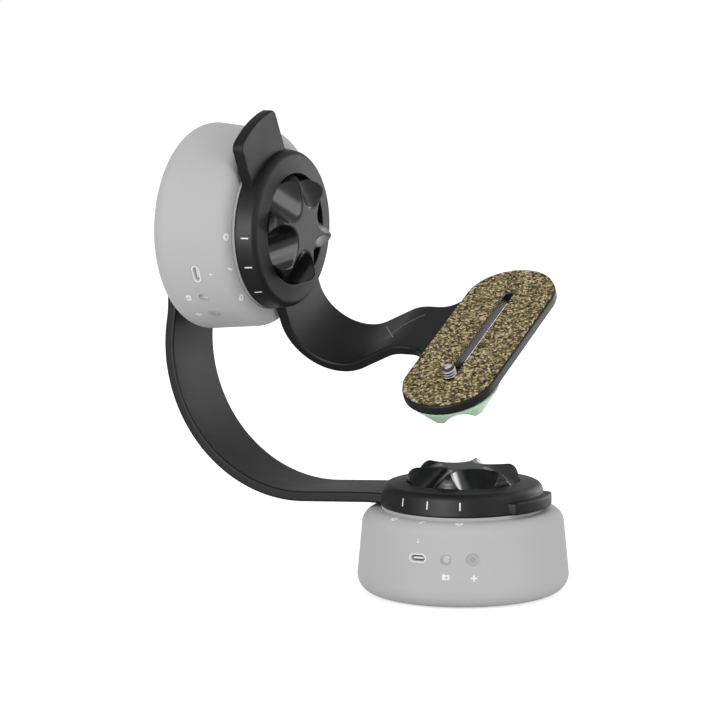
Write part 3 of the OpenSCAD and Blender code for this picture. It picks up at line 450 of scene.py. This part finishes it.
def make_knob(name, materials, body, slot, node, place, first,
              r, tip_r, z0, z1, flat_r, cut_r, slope, soft, bore_r, bore_l):
    """A round cap with six scoops that leave a star on its face, the edges between them rounded.

    A second material covers the star, as far as a margin below its edges.
    """
    chamfer, blend, margin = 0.3, 0.7, 0.22
    slope = math.radians(slope)
    corner = (tip_r - soft, z1 - soft)
    side = touch((r, z0), corner, soft, 1)
    flat = [(corner[0] * i / 64, z1) for i in range(1, 64)]
    crown = arc(corner, soft, 90, side, 12)
    end = crown[-1]
    drop = (r - end[0], z0 + chamfer - end[1])
    wall = [(end[0] + drop[0] * i / 6, end[1] + drop[1] * i / 6) for i in range(1, 7)]
    profile = flat + crown + wall
    steps = 360

    def scooped(radius, z, angle):
        """Height of the cap there, where the nearest scoop lowers it."""
        off = (math.degrees(angle) - first) % 60 - 30
        along, t = radius * math.cos(math.radians(off)), radius * math.sin(math.radians(off))
        if abs(t) >= cut_r:
            return z
        dip = z1 + (cut_r - math.sqrt(cut_r ** 2 - t ** 2)) / math.cos(slope) - (along - flat_r) * math.tan(slope)
        return max(z0 + chamfer, soft_min(z, dip, blend))

    bm = bmesh.new()
    angles = [2 * math.pi * i / steps for i in range(steps)]
    rows = [[(q * math.cos(a), q * math.sin(a), scooped(q, z, a)) for a in angles] for q, z in profile]
    below = [(r - chamfer, z0), (bore_r + chamfer, z0), (bore_r, z0 + chamfer), (bore_r, z0 + bore_l)]
    rows += [[(q * math.cos(a), q * math.sin(a), z) for a in angles] for q, z in below]
    rings = add_rows(bm, rows, place)
    bm.faces.new(rings[0])
    bm.faces.new(rings[-1])
    if len(materials) > 1:
        top = len(flat + crown)
        for low, high, row, (_, z) in zip(rings[:top], rings[1:top], rows, profile):
            for i in range(steps):
                if row[i][2] > z - margin:
                    face_between(bm, low, high, i).material_index = 1
        bm.faces.get(rings[0]).material_index = 1
    make_piece(bm, name, materials, body, [node])


# Camera fittings

def make_cork():
    """Cork pad with softly worn edges."""
    outline = stadium(PLATE_W - 2 * CORK_INSET, PLATE_L - 2 * CORK_INSET, PLATE_Y)
    slot = stadium(SLOT_W - 0.4, SLOT_L, PLATE_Y, 24)[::-1]
    bm = bmesh.new()
    add_slab(bm, [(outline, 0.3), (slot, 0.1)], PLATE_Z + STRAP_T, CORK_TOP, ON_TILT_AXIS)
    make_piece(bm, "cork_sheet", [cork], "cradle", ["cork_pad"])


def make_camera_screw():
    """Camera screw with a cut thread above the cork, with painted shade in the thread's roots."""
    major, minor, pitch, root, shank, chamfer = 3.175, 2.45, 1.27, 0.25, 2.4, 0.3
    nose_l, nose_drop, nose_r = 1.6, 0.6, 1.9
    foot, start, top = -58.5, CORK_TOP + 0.2, CORK_TOP + 4.8
    steps, levels = 64, 96
    angles = [2 * math.pi * i / steps for i in range(steps)]

    def thread_r(z, part):
        """Radius at a height and at a part of the turn, drawn in towards the nose."""
        ridge = min(1.0, max(0.0, 1.3 - 2.8 * abs((z / pitch - part) % 1.0 - 0.5)))
        nose = minor - nose_drop + min(1.0, (top - z) / nose_l) * (major - minor + nose_drop)
        return min(minor + (major - minor) * ridge, max(nose, nose_r))

    plain = [(shank - chamfer, foot), (shank, foot + chamfer), (shank, start - 0.02)]
    rows = [[(r * math.cos(a), r * math.sin(a), z) for a in angles] for r, z in plain]
    for level in range(levels + 1):
        z = start + (top - start) * level / levels
        radii = [thread_r(z, i / steps) for i in range(steps)]
        rows.append([(r * math.cos(a), r * math.sin(a), z) for r, a in zip(radii, angles)])
    bm = bmesh.new()
    rings = add_rows(bm, rows, ON_CAMERA_SCREW)
    # Painted shade: faces deep in the thread's roots take the dark material.
    for low, high, row in zip(rings, rings[1:], rows):
        for i in range(steps):
            if math.hypot(*row[i][:2]) < minor + root:
                face_between(bm, low, high, i).material_index = 1
    bm.faces.new(rings[0])
    bm.faces.new(rings[-1])
    make_piece(bm, "camera_screw_threaded", [thread_steel, painted_thread_shade], "camera_clamp", ["camera_screw"])


# Printed marks, and a painted highlight in each jack

def stroke(points, width, closed=False):
    """Four-sided patches that draw a line of some width through points."""
    ends = list(zip(points, points[1:] + points[:1])) if closed else list(zip(points, points[1:]))
    patches = []
    for start, end in ends:
        start, run = Vector(start), Vector(end) - Vector(start)
        side = run.normalized().orthogonal() * (width / 2)
        steps = math.ceil(run.length / INK_STEP)
        for i in range(steps):
            p, q = start + run * i / steps, start + run * (i + 1) / steps
            patches.append([p + side, p - side, q - side, q + side])
    return patches


def circle(r, width, steps=20):
    """Patches of a ring about the middle."""
    inner, outer = (arc((0, 0), r + side * width / 2, 0, 360, steps) for side in (-1, 1))
    return [[inner[i], outer[i], outer[i + 1], inner[i + 1]] for i in range(steps)]


def around_hole(w, h, x, y, r):
    """Patches of a rectangle, w by h from its middle to its edges, with a round hole in it."""
    steps, tiny = 24, 1e-6
    rim = arc((x, y), r, 0, 360, steps)
    border = []
    for a, b in rim:
        dx, dy = (a - x) / r, (b - y) / r
        reach = min((math.copysign(limit, d) - middle) / d
                    for limit, middle, d in ((w, x, dx), (h, y, dy)) if abs(d) > tiny)
        border.append((x + dx * reach, y + dy * reach))
    return [[rim[i], border[i], border[i + 1], rim[i + 1]] for i in range(steps)]


def add_patches(bm, patches, lay, place):
    """Lays patches on a surface, as ink of slight thickness, with no wall where two patches meet."""
    def side(patch, i):
        return frozenset((round(u, 4), round(v, 4)) for u, v in (patch[i - 1], patch[i]))

    shared = Counter(side(patch, i) for patch in patches for i in range(4))
    for patch in patches:
        low = [bm.verts.new(place @ Vector(lay(u, v, -INK_DEPTH))) for u, v in patch]
        high = [bm.verts.new(place @ Vector(lay(u, v, INK_RISE))) for u, v in patch]
        bm.faces.new(high)
        bm.faces.new(low[::-1])
        for i in range(4):
            if shared[side(patch, i)] == 1:
                bm.faces.new((low[i - 1], low[i], high[i], high[i - 1]))


def side_r(z):
    """Radius of a drum's side at a height."""
    v = (SHOULDER_C[0] - BASE_C[0], SHOULDER_C[1] - BASE_C[1])
    lean = math.asin((BASE_ROUND - SHOULDER_ROUND) / math.hypot(*v)) - math.atan2(v[0], v[1])
    return BASE_C[0] + (BASE_ROUND - math.sin(lean) * (z - BASE_C[1])) / math.cos(lean)


def on_port(direction, out):
    """Lays flat marks across a port in a drum's side, at a distance outside that side."""
    a = math.radians(direction)

    def lay(u, v, lift):
        r = side_r(PORT_Z) + out + lift
        return r * math.cos(a) - u * math.sin(a), r * math.sin(a) + u * math.cos(a), PORT_Z + v

    return lay


def on_side(direction, height):
    """Lays marks on a drum's side at a direction and height."""
    def lay(u, v, lift):
        z = height + v
        r = side_r(z) + lift
        a = math.radians(direction) + u / r
        return r * math.cos(a), r * math.sin(a), z

    return lay


def on_shoulder(direction, rise):
    """Lays marks on a drum's shoulder, at an angle above its side."""
    def lay(u, v, lift):
        b = math.radians(rise) + v / SHOULDER_ROUND
        r = SHOULDER_C[0] + (SHOULDER_ROUND + lift) * math.cos(b)
        a = math.radians(direction) + u / r
        return r * math.cos(a), r * math.sin(a), SHOULDER_C[1] + (SHOULDER_ROUND + lift) * math.sin(b)

    return lay


def on_disc(direction):
    """Lays marks on the side of an arm's disc."""
    side = math.radians(touch((DISC_R, DISC_FOOT), CROWN, CROWN_ROUND, 1))

    def lay(u, v, lift):
        edge = (CROWN_ROUND + lift - math.sin(side) * (v - CROWN[1])) / math.cos(side)
        over = CROWN_ROUND + lift
        round_off = math.sqrt(max(0.0, over ** 2 - (v - CROWN[1]) ** 2))
        r = CROWN[0] + (round_off if v > CROWN[1] + over * math.sin(side) else edge)
        a = math.radians(direction) + u / r
        return r * math.cos(a), r * math.sin(a), DISC_Z + v

    return lay


def make_drum_marks(name, body, button, place):
    """Signs beside the sockets and along the shoulder of a drum, and a white crescent of painted highlight inside the
    jack.
    """
    camera = around_hole(1.6, 1.05, 0.3, -0.05, 0.55) + stroke([(-1.3, 1.2), (-0.3, 1.2)], 0.4)
    plus = stroke([(-1.35, 0), (1.35, 0)], 0.7) + stroke([(0, -1.35), (0, 1.35)], 0.7)
    spark = stroke([(0, -0.8), (0, 0.9)], 0.3) + stroke([(0, -0.8), (0, -0.2)], 0.75)
    ring = circle(1.2, 0.9)
    slash = stroke([(-0.9, -1.1), (0.9, 1.1)], 1.0)
    diamond = stroke([(-1.6, 0), (0, -1.2), (1.6, 0), (0, 1.2)], 0.9, closed=True)
    # Painted highlight: a white crescent that stands in for a glint inside the jack.
    painted_jack_glint = stroke(arc((0, 0), 1.3, 20, 110, 8), 0.4)
    bm = bmesh.new()
    add_patches(bm, camera, on_side(JACK_DIR, 14.5), place)
    add_patches(bm, plus, on_side(-57.3, 14.2), place)
    add_patches(bm, spark, on_side(-88.8, 29.2), place)
    add_patches(bm, ring, on_shoulder(-110.8, 74), place)
    add_patches(bm, slash, on_shoulder(-89.35, 76), place)
    add_patches(bm, diamond, on_shoulder(-65.4, 76), place)
    # Lays the painted highlight crescent just inside the jack opening.
    add_patches(bm, painted_jack_glint, on_port(JACK_DIR, -0.95), place)
    make_piece(bm, name + "_marks", [print_and_glint_white], body, smooth=False)
    bm = bmesh.new()
    add_patches(bm, circle(0.87, 1.7), on_port(JACK_DIR, -1.05), place)
    make_piece(bm, name + "_jack_floor", [socket_grey], body, smooth=False)
    bm = bmesh.new()
    add_patches(bm, circle(0.66, 1.3), on_port(BUTTON_DIR, 0.25), place)
    make_piece(bm, name + "_button_dot", [print_grey], button, smooth=False)


def make_etching():
    """Two fine setting lines etched across the camera arm's strap."""
    foot, rise, rise_c = strap_rise(LOW_BEND_C)
    slope, out, width, parts = math.radians(RISE_SLOPE), STRAP_T / 2, 0.35, 16

    def lay(u, v, lift):
        """u runs along the strap from the foot of its rise, and v runs across it."""
        if u < rise:
            x = foot[0] + u * math.cos(slope) - (out + lift) * math.sin(slope)
            return x, v, foot[1] + u * math.sin(slope) + (out + lift) * math.cos(slope)
        a = max(0.0, slope - (u - rise) / RISE_BEND_R)
        flat = max(0.0, u - rise - RISE_BEND_R * slope)
        r = RISE_BEND_R + out + lift
        return rise_c[0] - r * math.sin(a) + flat, v, rise_c[1] + r * math.cos(a)

    bm = bmesh.new()
    for p, q in (((11.6, -6.1), (25.4, 9.0)), ((3.3, 9.4), (17.3, -7.4))):
        line = [(p[0] + (q[0] - p[0]) * i / parts, p[1] + (q[1] - p[1]) * i / parts) for i in range(parts + 1)]
        add_patches(bm, stroke(line, width), lay, ON_TILT_AXIS)
    make_piece(bm, "setting_lines", [etched], "cradle", smooth=False)


def make_ticks(name, body, place, directions):
    """White position ticks on the side of an arm's disc."""
    bm = bmesh.new()
    low, step, width = 2.9, 0.68, 0.6
    line = [(0, low + step * i) for i in range(6)]
    for direction in directions:
        add_patches(bm, stroke(line, width), on_disc(direction), place)
    make_piece(bm, name, [print_and_glint_white], body, smooth=False)


make_pan_arm()
make_camera_arm()
knob_sizes = dict(r=24.2, tip_r=24.2, z0=KNOB_Z, z1=KNOB_TOP, flat_r=9.3, cut_r=12.5, slope=34, soft=4.0,
                  bore_r=7.55, bore_l=8.0)
make_knob("pan_knob_star", [knob_gloss, knob_satin], "pan_clamp_knob", "knob", "pan_knob",
          ON_PAN_AXIS, first=41, **knob_sizes)
make_knob("tilt_knob_star", [knob_gloss, knob_satin], "tilt_clamp_knob", "knob", "tilt_knob",
          ON_TILT_DISC, first=51, **knob_sizes)
make_knob("camera_knob_star", [mint], "camera_clamp", "mint", "camera_knob",
          ON_CAMERA_SCREW @ turn("X", 180), first=90, r=20.5, tip_r=17.2, z0=53.55, z1=60.55,
          flat_r=11.5, cut_r=11.7, slope=35, soft=0.8, bore_r=2.45, bore_l=5.0)
make_cork()
make_camera_screw()
make_etching()
make_drum_marks("pan_drum", "base", "pan_push_button", ON_PAN_AXIS)
make_drum_marks("tilt_drum", "turret", "tilt_push_button", ON_UPRIGHT)
make_ticks("pan_disc_ticks", "turret", ON_PAN_AXIS, (-110.3, -88.9, -65.2))
make_ticks("tilt_disc_ticks", "cradle", ON_TILT_DISC, (245.25, 267.25, 290.75))


# Stage, light and camera

def add_area_light(name, place, target, size, power, card_for=None):
    """A soft rectangular light that faces a point, or a card that only the gloss of some pieces shows."""
    data = bpy.data.lights.new(name, "AREA")
    data.shape = "RECTANGLE"
    data.size, data.size_y = size
    data.energy = power
    lamp = bpy.data.objects.new(name, data)
    lamp.location = place
    lamp.rotation_euler = (Vector(target) - Vector(place)).to_track_quat("-Z", "Y").to_euler()
    lamp.visible_camera = False
    if card_for:
        lamp.visible_diffuse = False
        lamp.light_linking.receiver_collection = card_for
    bpy.context.scene.collection.objects.link(lamp)


def seen_ray(tree):
    """1 for rays from the camera, from gloss and through glass, and 0 for the rays that carry light."""
    path = tree.nodes.new("ShaderNodeLightPath")
    seen = path.outputs["Is Camera Ray"]
    for ray in ("Is Glossy Ray", "Is Transmission Ray"):
        either = tree.nodes.new("ShaderNodeMath")
        either.operation = "MAXIMUM"
        tree.links.new(seen, either.inputs[0])
        tree.links.new(path.outputs[ray], either.inputs[1])
        seen = either.outputs[0]
    return seen


def add_floor(glow):
    """A white floor that the object stands on, and that keeps its shadow."""
    half = 6.0
    mesh = bpy.data.meshes.new("floor")
    mesh.from_pydata([(-half, -half, 0), (half, -half, 0), (half, half, 0), (-half, half, 0)], [], [(0, 1, 2, 3)])
    floor = bpy.data.objects.new("floor", mesh)
    bpy.context.scene.collection.objects.link(floor)
    white = new_material("floor", (0.85, 0.85, 0.85), 0.9, specular=0.0)
    shader_of(white).inputs["Emission Color"].default_value = (1, 1, 1, 1)
    shown = white.node_tree.nodes.new("ShaderNodeMath")
    shown.operation = "MULTIPLY"
    shown.inputs[1].default_value = glow
    link(white, seen_ray(white.node_tree), shown.inputs[0])
    link(white, shown.outputs[0], shader_of(white).inputs["Emission Strength"])
    mesh.materials.append(white)


def add_world(ambient):
    """White where the camera, gloss or glass sees it, and a soft even light otherwise."""
    world = bpy.data.worlds.new("world")
    bpy.context.scene.world = world
    world.use_nodes = True
    tree = world.node_tree
    background = tree.nodes["Background"]
    background.inputs["Color"].default_value = (1, 1, 1, 1)
    strength = tree.nodes.new("ShaderNodeMapRange")
    strength.inputs["To Min"].default_value = ambient
    strength.inputs["To Max"].default_value = 1.0
    tree.links.new(seen_ray(tree), strength.inputs["Value"])
    tree.links.new(strength.outputs["Result"], background.inputs["Strength"])


def add_camera():
    """The photograph's camera: a long lens, a little above the head and to its right."""
    yaw, pitch, roll = (math.radians(a) for a in (28.584, 7.762, -0.405))
    ahead = Vector((-math.sin(yaw) * math.cos(pitch), math.cos(yaw) * math.cos(pitch), -math.sin(pitch)))
    right = Vector((math.cos(yaw), math.sin(yaw), 0))
    up = right.cross(ahead)
    right, up = right * math.cos(roll) + up * math.sin(roll), up * math.cos(roll) - right * math.sin(roll)
    data = bpy.data.cameras.new("camera")
    data.sensor_width = 36.0
    data.lens = 171.66
    data.clip_end = 20.0
    camera = bpy.data.objects.new("camera", data)
    place = Vector((664.31, -1311.79, 301.84)) * MM
    camera.matrix_world = Matrix.Translation(place) @ Matrix((right, up, -ahead)).transposed().to_4x4()
    bpy.context.scene.collection.objects.link(camera)
    bpy.context.scene.camera = camera


middle = (-0.04, 0.0, 0.11)
add_floor(0.65)
add_world(0.68)
add_area_light("front_left", (-0.5, -1.5, 0.6), middle, (0.6, 0.6), 5)
add_area_light("fill", (1.3, -0.7, 0.4), middle, (0.5, 0.5), 4)
black_pieces = bpy.data.collections.new("black_pieces")
for name in ("pan_arm_casting", "camera_arm_casting", "pan_knob_star", "tilt_knob_star"):
    black_pieces.objects.link(bpy.data.objects[name])
add_area_light("front_card", (-0.1, -1.5, 0.25), middle, (0.22, 0.5), 80, black_pieces)
add_area_light("right_card", (0.55, -0.02, 0.36), middle, (0.4, 0.6), 4.4, black_pieces)
add_area_light("back_card", (0.17, 0.4, 0.16), middle, (0.3, 0.3), 2.0, black_pieces)
add_camera()
bpy.context.scene.view_settings.view_transform = "Standard"
